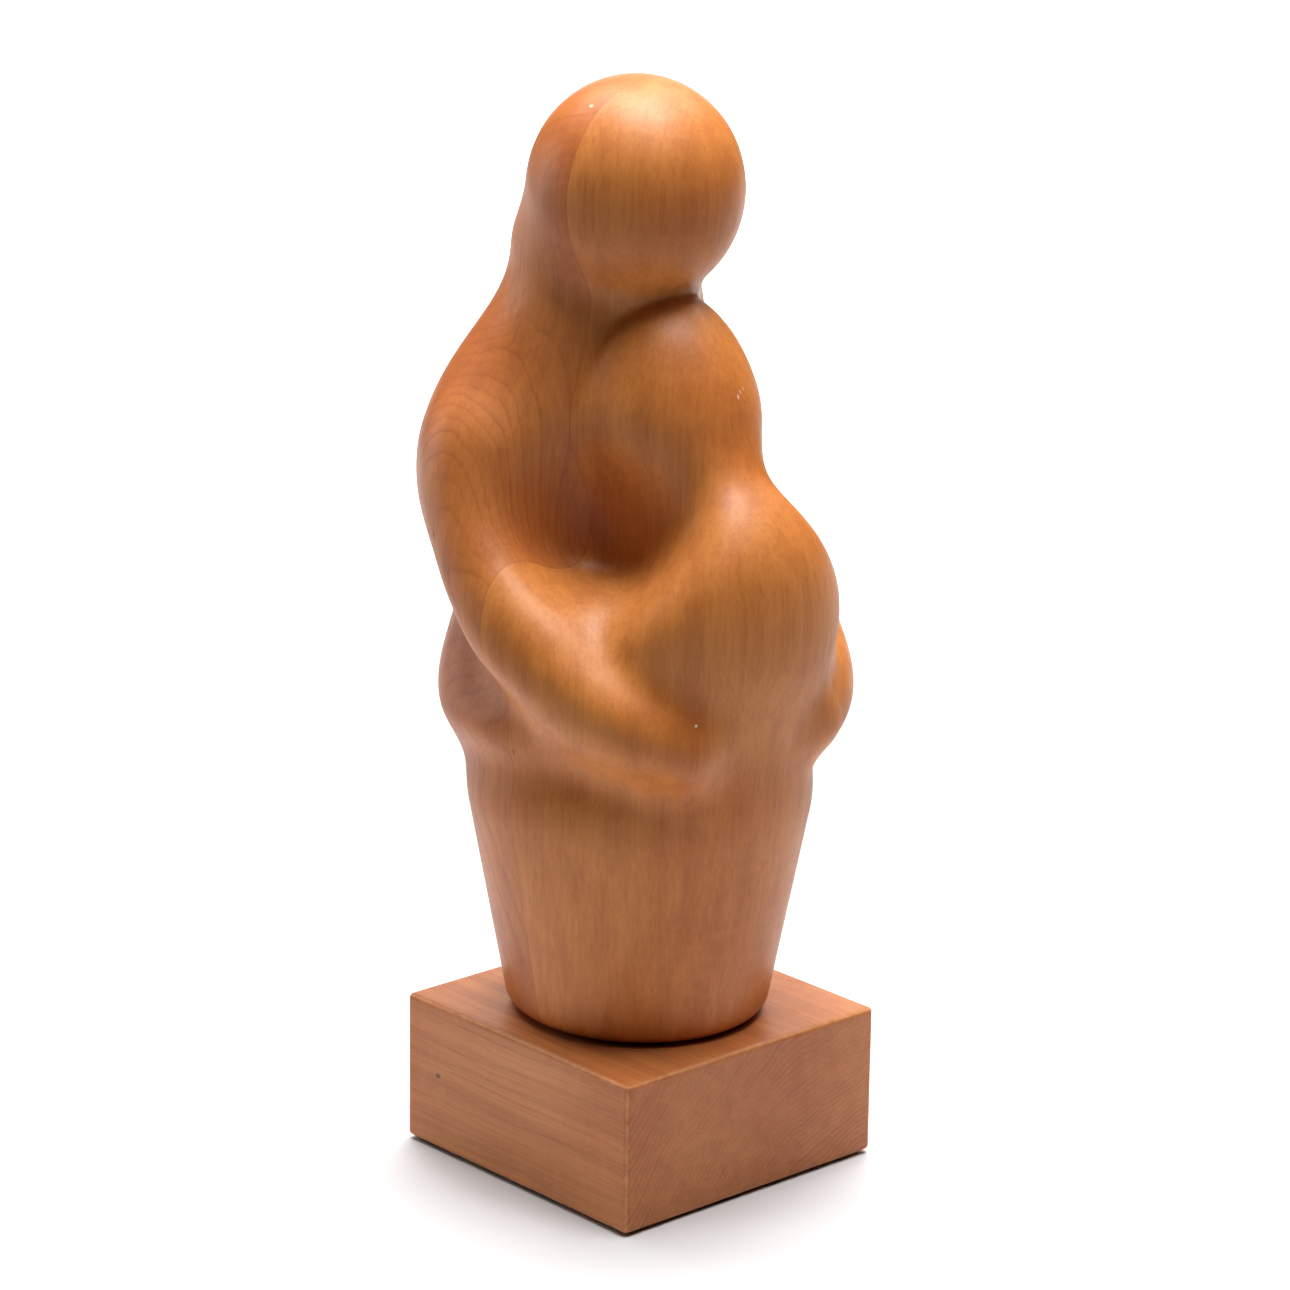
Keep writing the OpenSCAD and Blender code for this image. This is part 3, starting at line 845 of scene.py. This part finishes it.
def add_floor():
    """One large sheet of pale paper, with painted light: paler round the plinth and far off."""
    mesh = bpy.data.meshes.new("floor")
    half = FLOOR_SIDE / 2
    corners = [(-half, -half, 0), (half, -half, 0), (half, half, 0), (-half, half, 0)]
    mesh.from_pydata(corners, [], [(0, 1, 2, 3)])
    floor = bpy.data.objects.new("floor", mesh)
    bpy.context.scene.collection.objects.link(floor)
    t = Tree("floor_paper")
    place = t.nodes.new("ShaderNodeTexCoord").outputs["Object"]
    depth = t.vector("DOT_PRODUCT", place, AWAY)
    reach = t.vector("LENGTH", place)
    # painted light: paler paper round the plinth lightens its shadows, and paler paper far off
    # stands in for light the lamps don't bring
    near = t.mix(t.step(reach, *PAPER_EDGE), PAPER_NEAR, PAPER_FRONT)
    far = t.math("MAXIMUM", t.step(depth, *PAPER_FADE), t.step(reach, *PAPER_RIM))
    t.feed(t.shader.inputs["Base Color"], t.mix(far, near, PAPER_FAR))
    t.shader.inputs["Roughness"].default_value = PAPER_ROUGHNESS
    t.shader.inputs["Specular IOR Level"].default_value = PAPER_SPECULAR
    mesh.materials.append(t.material)
    return floor


def place_lamp(data, spot):
    """Puts a light in the scene, out of the camera's sight."""
    lamp = bpy.data.objects.new(data.name, data)
    bpy.context.scene.collection.objects.link(lamp)
    lamp.location = spot
    lamp.visible_camera = False
    return lamp


def round_light(name, size, watts):
    """The data of a soft round lamp."""
    data = bpy.data.lights.new(name, "AREA")
    data.shape, data.size, data.energy = "DISK", size, watts
    return data


def add_lamp(name, height, turn, watts, size):
    """Adds a soft round lamp aimed at the figure."""
    around, up = math.radians(CAMERA_TURN + turn), math.radians(height)
    level = Vector((math.sin(around), -math.cos(around), 0))
    spot = AIM + (level * math.cos(up) + Vector((0, 0, math.sin(up)))) * LAMP_DISTANCE
    spot.z = max(spot.z, size / 2 + LAMP_CLEARANCE)
    lamp = place_lamp(round_light(name, size, watts), spot)
    lamp.rotation_mode = "QUATERNION"
    lamp.rotation_quaternion = (spot - AIM).to_track_quat("Z", "Y")


def light_floor(floor):
    """Adds the two lights that fall on the paper only."""
    paper = bpy.data.collections.new("paper")
    paper.objects.link(floor)
    even = bpy.data.lights.new("paper_light", "SUN")
    even.energy, even.angle = PAPER_LIGHT, math.radians(PAPER_LIGHT_SPREAD)
    backdrop = round_light("backdrop_light", BACKDROP_SIZE, BACKDROP_LIGHT)
    up = Vector((0, 0, 1))
    for data, spot in (
        (even, up * PAPER_LIGHT_HEIGHT),
        (backdrop, AWAY * BACKDROP_AWAY + up * BACKDROP_HEIGHT),
    ):
        place_lamp(data, spot).light_linking.receiver_collection = paper


add_camera()
light_floor(add_floor())
for lamp in LAMPS:
    add_lamp(*lamp)
bpy.context.scene.view_settings.view_transform = "Standard"
